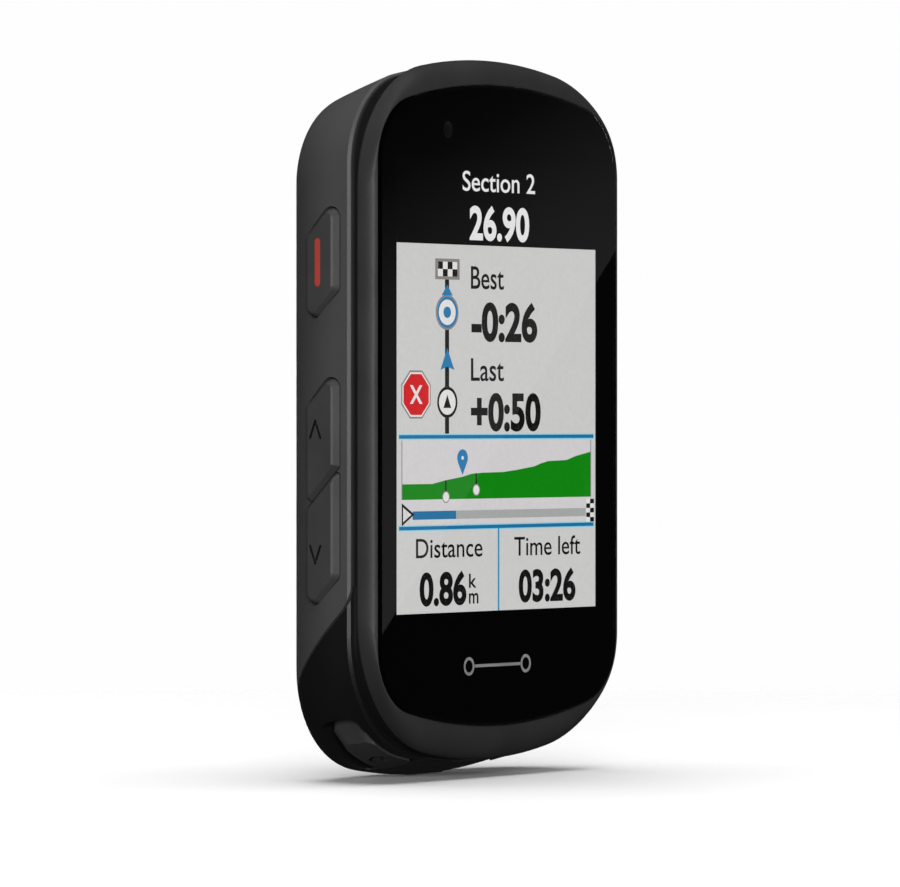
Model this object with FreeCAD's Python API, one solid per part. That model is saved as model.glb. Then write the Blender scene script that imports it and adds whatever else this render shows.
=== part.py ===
"""A handheld GPS cycling computer, as an assembly of separate parts, in millimetres.

The frame: +Z up along the case, the screen faces -Y, +X is to the right of the screen.
The origin is the centre of the quarter-turn mount's outer face, at the back of the case.
A "depth" is the distance behind the front face of the cover glass.
"""
import FreeCAD, Part
import math
import os
from FreeCAD import Matrix, Placement, Vector

# ---- driving dimensions ------------------------------------------------------------------
DEPTH = 20.0                # front of the glass to the outer face of the mount
CASE_BACK = 16.0            # depth of the case's flat back
BEZEL_BACK = 2.55           # depth where the bezel ends and the black band starts
SEAM = 3.9                  # depth where the rear shell starts
SEAL_GAP = 0.3              # thickness of the seal between the two halves
WALL = 1.6                  # thickness of the case's side walls
BACK_WALL = 2.2             # thickness of the case's back wall
CHAMFER = 0.3               # on the rear shell's front edge

# An outline is (half width, top, bottom, top corner radius, top arch radius,
# bottom corner radius, bottom arch radius).
GLASS = (23.8, 37.9, -34.95, 7.6, 80.0, 7.6, 80.0)
LIP = (24.1, 38.2, -35.25, 7.9, 80.3, 7.9, 80.3)
CREST = (24.9, 40.9, -38.9, 14.4, 76.0, 15.8, 68.0)
LIP_DEPTH, CREST_DEPTH = 0.25, 2.3
BODY_WIDTH = 24.4
BODY_TOP, TOP_SLOPE, TOP_ROUND = 40.4, 0.337, 4.0
BODY_BOTTOM, BOTTOM_SLOPE, BOTTOM_ROUND = -38.9, 0.28, 5.7
SIDE_ROUND = 9.7
TOP_CORNER, TOP_ARCH = 10.8, 80.0
BOTTOM_CORNER, BOTTOM_ARCH = 13.6, 77.0
BAND_INSET = 0.65           # how far the black band lies inside the case's outline

GLASS_THICK = 1.1
MASK_THICK = 0.1
TAPE_THICK = 0.3
SCREEN_W, SCREEN_H, SCREEN_Z = 40.1, 51.1, 3.65      # the lit area of the display
LCD_MARGIN = 1.4
LCD_THICK = 1.4
BACKLIGHT_THICK = 0.9

POST_X, POST_TOP_Z, POST_LOW_Z = 11.5, 28.0, -27.4   # the four case screws
POST_R = 2.2
BOSS_R = 11.8               # neck of the quarter-turn mount
TAB_R = 15.2                # tip radius of its two tabs
TAB_THICK = 1.9
TAB_ANGLE = 52.0
FLANGE_R = 16.2
FLANGE_THICK = 0.7
MOUNT_SCREW_R = 8.6         # radius of the circle of the mount's screws

TRAVEL = 0.4                # of every button
BUTTON_RISE = 0.5           # how far a side button's face stands out of the case
BUTTON_BEVEL = 0.5          # width of the slope round a side button's face
POCKET_GAP = 0.2            # between a button and its pocket
FOOT_THICK, FOOT_LIP = 0.6, 0.45                     # the flange that keeps a button in the case
SIDE_TILT = 8.5             # the side buttons lean back with the wall, in degrees
SIDE_DEPTH = 7.7            # depth of the side buttons' middle
SIDE_BASE = -3.0            # height of a side button's flange below its face's frame
CHIN_ANGLE = 66.0           # where the lap button sits on the corner, below the horizontal
CHIN_DEPTH, CHIN_BASE = 7.2, -4.4
CHIN_OUTER, CHIN_INNER, CHIN_HALF_WIDTH = 4.6, 6.3, 2.1     # from the frame's origin to its edges
CHIN_RADIUS, CHIN_RISE = 1.0, 0.2
FLAP_HALF = 9.0             # half the width of the USB cover
FLAP_FRONT, FLAP_HINGE = 4.45, 11.1
FLAP_THICK = 1.0
STRAP_HALF, STRAP_R = 3.5, 0.5                       # the USB cover's rubber hinge
FAR = 60.0                  # larger than any part

PARTS = {}


# ---- outlines and lofts ------------------------------------------------------------------
def at(x, depth, z):
    return Vector(x, depth - DEPTH, z)


def outline(depth, spec, inset=0.0):
    """A closed wire of lines and arcs round the screen's axis, at one depth."""
    w, top, low, r_top, arch_top, r_low, arch_low = spec
    w, top, low = w - inset, top - inset, low + inset
    halves = []
    for tip, r, arch in ((top, r_top, arch_top), (-low, r_low, arch_low)):
        r, arch = max(r - inset, 0.6), arch - inset
        centre = tip - arch + math.sqrt((arch - r) ** 2 - (w - r) ** 2)
        turn = math.atan2(centre - (tip - arch), w - r)
        halves.append((r, arch, centre, turn, tip))

    def corner(half, angle):
        r, _, centre, _, _ = half
        return w - r + r * math.cos(angle), centre + r * math.sin(angle)

    top_half, low_half = halves
    edges = []

    def arc(*points):
        a, b, c = (at(x, depth, z) for x, z in points)
        edges.append(Part.Arc(a, b, c).toShape())

    def line(a, b):
        edges.append(Part.LineSegment(at(a[0], depth, a[1]), at(b[0], depth, b[1])).toShape())

    def flip(point, sx, sz):
        return point[0] * sx, point[1] * sz

    t0, t1, t2 = corner(top_half, 0), corner(top_half, top_half[3] / 2), corner(top_half, top_half[3])
    b0, b1, b2 = corner(low_half, 0), corner(low_half, low_half[3] / 2), corner(low_half, low_half[3])
    line(flip(b0, 1, -1), t0)
    arc(t0, t1, t2)
    arc(t2, (0.0, top_half[4]), flip(t2, -1, 1))
    arc(flip(t2, -1, 1), flip(t1, -1, 1), flip(t0, -1, 1))
    line(flip(t0, -1, 1), flip(b0, -1, -1))
    arc(flip(b0, -1, -1), flip(b1, -1, -1), flip(b2, -1, -1))
    arc(flip(b2, -1, -1), (0.0, -low_half[4]), flip(b2, 1, -1))
    arc(flip(b2, 1, -1), flip(b1, 1, -1), flip(b0, 1, -1))
    return Part.Wire(edges)


def loft(wires, ruled=False):
    return Part.makeLoft(wires, True, ruled)


def slab(spec, depth_0, depth_1, inset=0.0):
    """A plate of one outline between two depths."""
    face = Part.Face(outline(depth_0, spec, inset))
    return face.extrude(Vector(0, depth_1 - depth_0, 0))


def rounding(depth, radius, back):
    start = back - radius
    if depth <= start:
        return 0.0
    return radius - math.sqrt(max(radius ** 2 - (depth - start) ** 2, 0.0))


def body_spec(depth, inset=0.0, back=CASE_BACK):
    """The case's outline at a depth. The sides, top and bottom round over into the back."""
    w = BODY_WIDTH - inset - rounding(depth, SIDE_ROUND - inset, back)
    top = BODY_TOP - TOP_SLOPE * (depth - SEAM) - inset - rounding(depth, TOP_ROUND - inset / 2, back)
    low = BODY_BOTTOM - BOTTOM_SLOPE * (depth - SEAM) + inset
    low += rounding(depth, BOTTOM_ROUND - inset / 2, back)
    share = w / BODY_WIDTH
    return (w, top, low, TOP_CORNER * share, TOP_ARCH, BOTTOM_CORNER * share, BOTTOM_ARCH)


def body(inset=0.0, start=SEAM, back=CASE_BACK):
    """The case's outer solid, or the same shape further in."""
    radius = SIDE_ROUND - inset
    turn = back - radius
    steps = 8
    round_depths = [turn + radius * math.sin(math.pi / 2 * k / steps) for k in range(steps + 1)]
    straight = loft([outline(d, body_spec(d, inset, back)) for d in (start, turn)], True)
    rounded = loft([outline(d, body_spec(d, inset, back)) for d in round_depths])
    return straight.fuse(rounded)


def box(x0, x1, d0, d1, z0, z1):
    return Part.makeBox(x1 - x0, d1 - d0, z1 - z0, at(x0, d0, z0))


def rounded_box(x0, x1, d0, d1, z0, z1, r):
    """A box with its four long edges, along the depth, rounded."""
    solid = box(x0, x1, d0, d1, z0, z1)
    edges = [e for e in solid.Edges if abs(e.tangentAt(e.FirstParameter).y) > 0.9]
    return solid.makeFillet(r, edges)


def rod(x, z, d0, d1, r):
    """A cylinder along the depth."""
    return Part.makeCylinder(r, d1 - d0, at(x, d0, z), Vector(0, 1, 0))


def fuse(*solids):
    result = solids[0]
    for solid in solids[1:]:
        result = result.fuse(solid)
    return result.removeSplitter()


def cut(solid, *tools):
    for tool in tools:
        solid = solid.cut(tool)
    return solid


def keep(name, *solids):
    shape = solids[0] if len(solids) == 1 else Part.makeCompound(list(solids))
    PARTS[name] = shape


# ---- the line where the rear shell meets the black lower case -------------------------------
SPLIT_Z = -20.3             # height of the corner of that line
SPLIT_FALL = 1.03           # how far it falls for each millimetre of depth
SPLIT_RADIUS = 4.0


def shell_side(grow=0.0):
    """The space of the rear shell: behind the seam and above a line that falls to the back."""
    fall = math.atan(SPLIT_FALL)
    corner_d = SEAM - grow
    corner_z = SPLIT_Z - grow * math.tan((math.pi / 2 - fall) / 2)
    run = (SPLIT_RADIUS + grow) * math.tan((math.pi / 2 - fall) / 2)
    a = (corner_d, corner_z + run)
    b = (corner_d + run * math.cos(fall), corner_z - run * math.sin(fall))
    centre = (corner_d + SPLIT_RADIUS + grow, corner_z + run)
    middle_angle = (math.pi + math.pi + (math.pi / 2 - fall)) / 2
    m = (centre[0] + (SPLIT_RADIUS + grow) * math.cos(middle_angle),
         centre[1] + (SPLIT_RADIUS + grow) * math.sin(middle_angle))
    end = (corner_d + 20.0, corner_z - 20.0 * SPLIT_FALL)
    edges = [
        Part.LineSegment(at(-FAR, corner_d, FAR), at(-FAR, *a)).toShape(),
        Part.Arc(at(-FAR, *a), at(-FAR, *m), at(-FAR, *b)).toShape(),
        Part.LineSegment(at(-FAR, *b), at(-FAR, *end)).toShape(),
        Part.LineSegment(at(-FAR, *end), at(-FAR, end[0], FAR)).toShape(),
        Part.LineSegment(at(-FAR, end[0], FAR), at(-FAR, corner_d, FAR)).toShape(),
    ]
    return Part.Face(Part.Wire(edges)).extrude(Vector(2 * FAR, 0, 0))


# ---- buttons -----------------------------------------------------------------------------
class Frame:
    """A local frame on the case's surface: u and v along it, n outward."""

    def __init__(self, origin, u, v, n):
        self.origin, self.u, self.v, self.n = origin, u, v, n
        self.placement = Placement(Matrix(u.x, v.x, n.x, origin.x, u.y, v.y, n.y, origin.y,
                                          u.z, v.z, n.z, origin.z, 0, 0, 0, 1))

    def put(self, shape):
        shape.Placement = self.placement.multiply(shape.Placement)
        return shape


def round_polygon(points, radii, height, grow=0.0):
    """A wire at one height in a local frame: a polygon with rounded corners, offset by grow."""
    count = len(points)
    moved = []
    for i, p in enumerate(points):
        before, after = points[i - 1], points[(i + 1) % count]
        a, b = (p - before).normalize(), (after - p).normalize()
        na, nb = Vector(a.y, -a.x, 0), Vector(b.y, -b.x, 0)
        middle = (na + nb) * (1.0 / (1.0 + na.dot(nb)))
        moved.append(p + middle * grow)
    edges, starts, ends, mids = [], [], [], []
    for i, p in enumerate(moved):
        before, after = moved[i - 1], moved[(i + 1) % count]
        a, b = (p - before).normalize(), (after - p).normalize()
        turn = a.getAngle(b)
        r = max(radii[i] + grow, 0.12)
        run = r * math.tan(turn / 2)
        s, e = p - a * run, p + b * run
        inward = (b - a).normalize()
        m = p + inward * (r / math.cos(turn / 2) - r)
        starts.append(s)
        ends.append(e)
        mids.append(m)
    lift = Vector(0, 0, height)
    for i in range(count):
        edges.append(Part.Arc(starts[i] + lift, mids[i] + lift, ends[i] + lift).toShape())
        edges.append(Part.LineSegment(ends[i] + lift, starts[(i + 1) % count] + lift).toShape())
    return Part.Wire(edges)


def prism(points, radii, low, high, grow=0.0):
    face = Part.Face(round_polygon(points, radii, low, grow))
    return face.extrude(Vector(0, 0, high - low))


def side_button(frame, points, radii):
    """A side button, in its own frame: a stem, a bevelled face and the flange that keeps it in."""
    shoulder, soft = -0.3, 0.15
    rim = BUTTON_BEVEL - soft
    stem = prism(points, radii, SIDE_BASE, shoulder)
    slope = loft([round_polygon(points, radii, shoulder),
                  round_polygon(points, radii, BUTTON_RISE - soft, -rim)], True)
    crown = loft([round_polygon(points, radii, BUTTON_RISE - soft, -rim),
                  round_polygon(points, radii, BUTTON_RISE, -rim - soft - 0.1)], True)
    foot = prism(points, radii, SIDE_BASE - FOOT_THICK, SIDE_BASE, FOOT_LIP)
    return frame.put(fuse(stem, slope, crown, foot))


def pocket(frame, points, radii, grow=POCKET_GAP, low=-6.0):
    """The straight hole that a button slides in."""
    return frame.put(prism(points, radii, low, 4.0, grow))


def stroke(frame, points, width, depth, rise=BUTTON_RISE):
    """A groove of round-ended strokes, cut into a button's face, which lies at a given rise."""
    grooves = []
    for a, b in zip(points, points[1:]):
        along = (b - a).normalize()
        side = Vector(-along.y, along.x, 0) * (width / 2)
        corners = [a - side, b - side, b + side, a + side]
        floor = [c + Vector(0, 0, rise - depth) for c in corners + corners[:1]]
        grooves.append(Part.Face(Part.makePolygon(floor)).extrude(Vector(0, 0, 1.0)))
    for p in points:
        grooves.append(Part.makeCylinder(width / 2, 1.0, p + Vector(0, 0, rise - depth)))
    return frame.put(fuse(*grooves))


def mirrored(shape):
    return shape.mirror(Vector(0, 0, 0), Vector(1, 0, 0))


tilt = math.radians(SIDE_TILT)
side_n = Vector(-math.cos(tilt), math.sin(tilt), 0)
side_u = Vector(-math.sin(tilt), -math.cos(tilt), 0)
SIDE_X = -(BODY_WIDTH - rounding(SIDE_DEPTH, SIDE_ROUND, CASE_BACK))


def side_frame(z):
    return Frame(at(SIDE_X, SIDE_DEPTH, z), side_u, Vector(0, 0, 1), side_n)


def side_key(top_front, low_front, slant=4.4, half=2.4):
    """The frame, corners and height of a slanted side button, given its front edge's two ends."""
    middle = (top_front + low_front - slant) / 2
    points = [Vector(half, low_front - middle, 0), Vector(half, top_front - middle, 0),
              Vector(-half, top_front - slant - middle, 0), Vector(-half, low_front - slant - middle, 0)]
    return side_frame(middle), points, middle


KEY_RADII = [1.1, 1.1, 1.1, 1.1]
UPPER_RADII = [0.35, 1.1, 1.1, 0.35]
LOWER_RADII = [1.1, 0.35, 0.35, 1.1]
power_frame, power_points, power_z = side_key(24.9, 14.4)
up_frame, up_points, up_z = side_key(5.85, -5.35)
down_frame, down_points, down_z = side_key(-5.65, -17.7)


def chin_frame():
    """A frame on the lower left corner of the case, for the lap button: u runs down to the middle."""
    angle = math.radians(CHIN_ANGLE)
    w, _, low, _, _, r, arch = body_spec(CHIN_DEPTH)
    centre_z = low + arch - math.sqrt((arch - r) ** 2 - (w - r) ** 2)
    flat = Vector(-math.cos(angle), 0, -math.sin(angle))
    n = Vector(flat.x, -BOTTOM_SLOPE * math.sin(angle), flat.z).normalize()
    u = n.cross(Vector(0, 1, 0)).normalize()
    return Frame(at(-(w - r), CHIN_DEPTH, centre_z) + flat * r, u, n.cross(u), n)


def chin_corners(outer=0.0, back=0.0):
    """The lap button's corners, with its outer end and its back edge moved out by some amount."""
    left, right = -CHIN_OUTER - outer, CHIN_INNER
    front, rear = CHIN_HALF_WIDTH, -CHIN_HALF_WIDTH - back
    return [Vector(right, rear, 0), Vector(right, front, 0), Vector(left, front, 0), Vector(left, rear, 0)]


def chin_button():
    """The lap button: its face is the case's own curved skin, with a long bevel at its outer end."""
    corners, radii = chin_corners(), [CHIN_RADIUS] * 4
    shoulder = -1.5
    stem = prism(corners, radii, CHIN_BASE, shoulder)
    slope = loft([round_polygon(corners, radii, shoulder),
                  round_polygon(chin_corners(-2.3, -0.6), radii, 0.3)], True)
    foot = chin_frame().put(prism(corners, radii, CHIN_BASE - FOOT_THICK, CHIN_BASE, FOOT_LIP))
    foot = foot.common(body(WALL + 0.25, SEAM - 1.0, CASE_BACK - BACK_WALL - 0.25))
    face = chin_frame().put(fuse(stem, slope)).common(body(-CHIN_RISE, 3.0))
    return face.fuse(foot).removeSplitter()


def chin_scoop():
    """The hollow in the case round the lap button's outer end, where a fingertip finds it."""
    radii = [CHIN_RADIUS] * 4
    return chin_frame().put(loft([round_polygon(chin_corners(0.2, 0.2), radii, -2.7),
                                  round_polygon(chin_corners(4.0, 1.9), [2.2] * 4, 0.4)], True))


def chin_pad():
    """The thicker wall round the lap button's pocket, under the hollow."""
    pad = chin_frame().put(prism(chin_corners(1.6, 1.2), [CHIN_RADIUS] * 4, CHIN_BASE + 0.3, -1.0))
    return pad.common(body(0.4, SEAM, CASE_BACK - 0.4))


chin_points, CHIN_RADII = chin_corners(), [CHIN_RADIUS] * 4
power_key = side_button(power_frame, power_points, KEY_RADII)
up_key = side_button(up_frame, up_points, UPPER_RADII)
down_key = side_button(down_frame, down_points, LOWER_RADII)
# The flanges of the upper and lower keys are cut back, so that each key moves on its own.
up_foot_room = side_frame(down_z).put(prism(down_points, LOWER_RADII, -6.0, SIDE_BASE, 0.6))
down_foot_room = side_frame(up_z).put(prism(up_points, UPPER_RADII, -6.0, SIDE_BASE, 0.6))
up_key, down_key = up_key.cut(up_foot_room), down_key.cut(down_foot_room)
lap_key = chin_button()

# The marks on the side buttons are grooves, and the power button's is a red inlay.
MARK_WIDTH, MARK_LENGTH, MARK_DEPTH, MARK_SHIFT = 0.85, 5.4, 0.25, -0.25
GROOVE_WIDTH, GROOVE_DEPTH = 0.32, 0.22
mark_reach = (MARK_LENGTH - MARK_WIDTH) / 2
mark_ends = [Vector(MARK_SHIFT, -mark_reach, 0), Vector(MARK_SHIFT, mark_reach, 0)]
mark_slot = stroke(power_frame, mark_ends, MARK_WIDTH, MARK_DEPTH)
keep("power_button", power_key.cut(mark_slot))
keep("power_mark", power_key.common(mark_slot))


def engrave(button, frame, shift, *lines, rise=BUTTON_RISE):
    """Cut a mark of one or more bent lines into a button's face, around a point on it."""
    for line in lines:
        points = [Vector(x, y, 0) + shift for x, y in line]
        button = button.cut(stroke(frame, points, GROOVE_WIDTH, GROOVE_DEPTH, rise))
    return button


peak = [(-0.8, -0.95), (0.0, 0.95), (0.8, -0.95)]
valley = [(x, -y) for x, y in peak]
tick = [(0.9, 0.0), (0.3, -0.8), (-0.9, 0.9)]
return_shaft = [(-0.8, -0.8), (-0.8, 0.5), (0.9, 0.5)]
return_head = [(0.3, 1.1), (0.9, 0.5), (0.3, -0.1)]
up_spot, down_spot = Vector(-0.6, -1.2 - up_z, 0), Vector(-0.6, -15.2 - down_z, 0)
keep("up_button", engrave(up_key, up_frame, up_spot, peak))
keep("down_button", engrave(down_key, down_frame, down_spot, valley))
keep("enter_button", mirrored(engrave(up_key, up_frame, up_spot, tick)))
keep("back_button", mirrored(engrave(down_key, down_frame, down_spot, return_shaft, return_head)))

loop_turns = [math.radians(30 + 30 * k) for k in range(10)]
loop = [(0.85 * math.cos(turn), 0.85 * math.sin(turn)) for turn in loop_turns]
loop_head = [(1.25, 1.0), (loop[0][0], loop[0][1]), (0.15, 0.35)]
triangle = [(-0.6, -0.8), (0.8, 0.0), (-0.6, 0.8), (-0.6, -0.8)]
chin_spot = Vector(1.8, 0.2, 0)
keep("lap_button", engrave(lap_key, chin_frame(), chin_spot, loop, loop_head, rise=CHIN_RISE - 0.12))
keep("start_button", mirrored(engrave(lap_key, chin_frame(), chin_spot, triangle, rise=CHIN_RISE - 0.12)))


# ---- front: bezel, glass, display --------------------------------------------------------
def between(a, b, share):
    return tuple(x + (y - x) * share for x, y in zip(a, b))


def bezel_outer():
    """The bezel's outer skin swells in a quarter ellipse from its lip to its crest."""
    steps = 6
    wires = []
    for k in range(steps + 1):
        turn = math.pi / 2 * k / steps
        depth = LIP_DEPTH + (CREST_DEPTH - LIP_DEPTH) * (1 - math.cos(turn))
        wires.append(outline(depth, between(LIP, CREST, math.sin(turn))))
    skirt = loft([outline(CREST_DEPTH, CREST), outline(BEZEL_BACK, CREST, 0.12)], True)
    return loft(wires).fuse(skirt)


GLASS_GAP, GLASS_EDGE = 0.1, 0.25
MASK_BACK = GLASS_THICK + MASK_THICK
TAPE_BACK = MASK_BACK + TAPE_THICK
LCD_BACK = MASK_BACK + LCD_THICK
BACKLIGHT_BACK = LCD_BACK + BACKLIGHT_THICK
lcd_half = SCREEN_W / 2 + LCD_MARGIN
lcd_top = SCREEN_Z + SCREEN_H / 2 + LCD_MARGIN
lcd_low = SCREEN_Z - SCREEN_H / 2 - LCD_MARGIN - 0.6
SENSOR_X, SENSOR_Z, SENSOR_R, SENSOR_SIZE = -10.0, 32.6, 1.0, 1.8
SENSOR_FRONT = 2.5
sensor_room = rod(SENSOR_X, SENSOR_Z, 0, 6, SENSOR_SIZE * 0.8)

lip_edge = loft([outline(LIP_DEPTH - 0.02, GLASS, -GLASS_GAP - 0.12),
                 outline(LIP_DEPTH + 0.12, GLASS, -GLASS_GAP)], True)
window = rounded_box(-lcd_half - 0.4, lcd_half + 0.4, 0, 5, lcd_low - 0.4, lcd_top + 0.4, 0.5)
glass_room = slab(GLASS, -1.0, TAPE_BACK, -GLASS_GAP)
keep("front_bezel", cut(bezel_outer(), glass_room, lip_edge, window, sensor_room))
keep("cover_glass", fuse(loft([outline(0, GLASS, GLASS_EDGE), outline(GLASS_EDGE, GLASS)], True),
                         slab(GLASS, GLASS_EDGE, GLASS_THICK)))
screen_hole = box(-SCREEN_W / 2, SCREEN_W / 2, 0, 5, SCREEN_Z - SCREEN_H / 2, SCREEN_Z + SCREEN_H / 2)
keep("border_mask", cut(slab(GLASS, GLASS_THICK, MASK_BACK, 0.05), screen_hole,
                        rod(SENSOR_X, SENSOR_Z, 0, 5, SENSOR_R)))
keep("glass_adhesive", slab(GLASS, MASK_BACK, TAPE_BACK, 0.3).cut(slab(GLASS, 0, 5, 1.6)))
keep("display_panel", box(-lcd_half, lcd_half, MASK_BACK, LCD_BACK, lcd_low, lcd_top))
keep("backlight", box(-lcd_half, lcd_half, LCD_BACK, BACKLIGHT_BACK, lcd_low, lcd_top))
sensor_half = SENSOR_SIZE / 2
keep("light_sensor", box(SENSOR_X - sensor_half, SENSOR_X + sensor_half, SENSOR_FRONT, SENSOR_FRONT + 0.7,
                         SENSOR_Z - sensor_half, SENSOR_Z + sensor_half))


# ---- case: black lower case with its band, grey rear shell, seal ---------------------------
SCREW_R, SCREW_HEAD_R, SCREW_HEAD = 0.8, 1.5, 1.0
SCREW_SEAT = CASE_BACK - 1.3
BOSS_END = 11.4             # depth where a chassis post meets a boss of the rear shell
screw_spots = [(x, z) for x in (-POST_X, POST_X) for z in (POST_TOP_Z, POST_LOW_Z)]
mount_angles = [math.radians(45 + 90 * k) for k in range(4)]
mount_spots = [(MOUNT_SCREW_R * math.cos(a), MOUNT_SCREW_R * math.sin(a)) for a in mount_angles]
MOUNT_SCREW_TIP = CASE_BACK - BACK_WALL + 0.5
VENT_Z, VENT_PITCH, VENT_R = 26.0, 1.5, 0.45
PAD_Z, PAD_PITCH, PAD_R = -21.5, 2.6, 0.8
vent_holes = [rod(VENT_PITCH * k, VENT_Z, 0, FAR, VENT_R) for k in (-1, 0, 1)]
pad_spots = [PAD_PITCH * k for k in (-2, -1, 0, 1, 2)]

front_edge = loft([outline(SEAM, body_spec(SEAM), CHAMFER),
                   outline(SEAM + CHAMFER, body_spec(SEAM + CHAMFER))], True)
tube = fuse(front_edge, body(start=SEAM + CHAMFER)).cut(body(WALL, SEAM - 1.0, CASE_BACK - BACK_WALL))
bosses = [rod(x, z, BOSS_END, CASE_BACK - BACK_WALL + 0.2, POST_R) for x, z in screw_spots]
rear = fuse(tube, *bosses).common(shell_side())
up_hole = pocket(up_frame, up_points, UPPER_RADII)
down_hole = pocket(down_frame, down_points, LOWER_RADII)
power_hole = pocket(power_frame, power_points, KEY_RADII)
flange_room = rod(0, 0, CASE_BACK - FLANGE_THICK, FAR, FLANGE_R + 0.1)
rear = cut(rear, power_hole, up_hole, down_hole, mirrored(up_hole), mirrored(down_hole), flange_room)
rear = cut(rear, *[rod(x, z, 0, FAR, SCREW_R + 0.15) for x, z in screw_spots])
rear = cut(rear, *[rod(x, z, SCREW_SEAT, FAR, SCREW_HEAD_R + 0.2) for x, z in screw_spots])
rear = cut(rear, *[rod(x, z, MOUNT_SCREW_TIP - 0.15, FAR, SCREW_R - 0.1) for x, z in mount_spots])
rear = cut(rear, *vent_holes, *[rod(x, PAD_Z, 0, FAR, PAD_R) for x in pad_spots])
keep("rear_shell", rear)

# The USB cover is a slice of the case's own skin, with a soft hinge at its back edge.
hinge_surface = -body_spec(FLAP_HINGE)[2]
HINGE_Z = -(hinge_surface - STRAP_R)
strap = Part.makeCylinder(STRAP_R, 2 * STRAP_HALF, at(-STRAP_HALF, FLAP_HINGE, HINGE_Z), Vector(1, 0, 0))
strap_room = Part.makeCylinder(STRAP_R + 0.2, 2 * STRAP_HALF + 0.4,
                               at(-STRAP_HALF - 0.2, FLAP_HINGE, HINGE_Z), Vector(1, 0, 0))
PLATE_BACK = FLAP_HINGE - 0.7
skin_core = body(FLAP_THICK, 2.0, CASE_BACK - FLAP_THICK)
skin_floor = body(FLAP_THICK + 0.15, 2.0, CASE_BACK - FLAP_THICK)
flap = body(0.0, 3.0).common(fuse(box(-FLAP_HALF, FLAP_HALF, FLAP_FRONT, PLATE_BACK, -FAR, -30),
                                  box(-STRAP_HALF, STRAP_HALF, FLAP_FRONT, FLAP_HINGE, -FAR, -30)))
flap = flap.cut(skin_core)
flap_room = fuse(box(-FLAP_HALF - 0.2, FLAP_HALF + 0.2, FLAP_FRONT - 0.25, PLATE_BACK + 0.25, -FAR, -30),
                 box(-STRAP_HALF - 0.2, STRAP_HALF + 0.2, FLAP_FRONT, FLAP_HINGE, -FAR, -30)).cut(skin_floor)
strap_mouth = box(-STRAP_HALF - 0.2, STRAP_HALF + 0.2, FLAP_HINGE, FLAP_HINGE + STRAP_R + 0.2, -FAR, HINGE_Z)

PORT_HALF, PORT_DEPTH, PORT_THICK, PORT_ROOF = 5.6, 8.3, 3.4, -37.4
SOCKET_HALF, SOCKET_THICK, SOCKET_END = 3.75, 2.6, -32.2
port_room = box(-PORT_HALF, PORT_HALF, PORT_DEPTH - PORT_THICK / 2 - 0.8, PORT_DEPTH + PORT_THICK / 2 + 0.2,
                -FAR, PORT_ROOF)
socket_room = box(-SOCKET_HALF - 0.2, SOCKET_HALF + 0.2, PORT_DEPTH - SOCKET_THICK / 2 - 0.2,
                  PORT_DEPTH + SOCKET_THICK / 2 + 0.2, -FAR, -30)
PLUG_TOP = PORT_ROOF - 0.8
plug = box(-PORT_HALF + 0.3, PORT_HALF - 0.3, PORT_DEPTH - PORT_THICK / 2, PORT_DEPTH + PORT_THICK / 2,
           -39.2, PLUG_TOP)
thumb = box(-3.0, 3.0, FLAP_FRONT - 0.1, FLAP_FRONT + 0.75, -FAR, -30).cut(body(0.35, 2.0))
keep("usb_cover", fuse(flap, plug, strap).cut(thumb))

# A lanyard loops through a hole across the lower case's back.
EYE_R, EYE_LENGTH, EYE_DEPTH, EYE_Z = 1.0, 3.0, 14.0, -34.8
eye_block = box(-5.4, 5.4, 11.9, CASE_BACK, -FAR, -31.4).common(body(0.4, SEAM, CASE_BACK - 0.2))
eye_half = EYE_LENGTH / 2
eye_hole = Part.makeCylinder(EYE_R, EYE_LENGTH + 2, at(-eye_half - 1, EYE_DEPTH, EYE_Z), Vector(1, 0, 0))
eye_pocket = rounded_box(eye_half, eye_half + 2.6, EYE_DEPTH - 1.25, FAR, EYE_Z - 1.6, EYE_Z + 1.6, 1.2)

band_spec = body_spec(SEAM)
SEAL_FRONT = SEAM - SEAL_GAP
ring_inner = slab(band_spec, 0, SEAM + 2, BAND_INSET + 1.6)
ring = slab(band_spec, BEZEL_BACK, SEAL_FRONT, BAND_INSET).cut(ring_inner)
closer = slab(band_spec, SEAL_FRONT, SEAM + 0.05, CHAMFER)
closer = cut(closer, slab(band_spec, 0, 9, WALL), shell_side(SEAL_GAP))
chin = fuse(tube, eye_block, chin_pad(), mirrored(chin_pad())).cut(shell_side(SEAL_GAP))
liner = box(-9.7, 9.7, SEAL_FRONT, 13.2, -FAR, -37.25)
port_block = fuse(liner, box(-7.6, 7.6, SEAL_FRONT, 13.2, -FAR, -34.2))
port_block = port_block.common(body(0.5, SEAL_FRONT, CASE_BACK - 0.5))
lap_hole = pocket(chin_frame(), chin_points, CHIN_RADII)
scoop = chin_scoop()
lower = cut(fuse(ring, chin, closer, port_block), flap_room, strap_room, strap_mouth, port_room, socket_room,
            lap_hole, mirrored(lap_hole), scoop, mirrored(scoop), eye_hole, eye_pocket, mirrored(eye_pocket))
keep("lower_case", lower)

seal_outer = body(0.45, SEAM - 1.0, CASE_BACK - 0.45)
seal_inner = body(WALL - 0.35, SEAM - 2.0, CASE_BACK - BACK_WALL + 0.35)
keep("housing_seal", cut(seal_outer, seal_inner, shell_side(0.02)).common(shell_side(SEAL_GAP - 0.02)))

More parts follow.
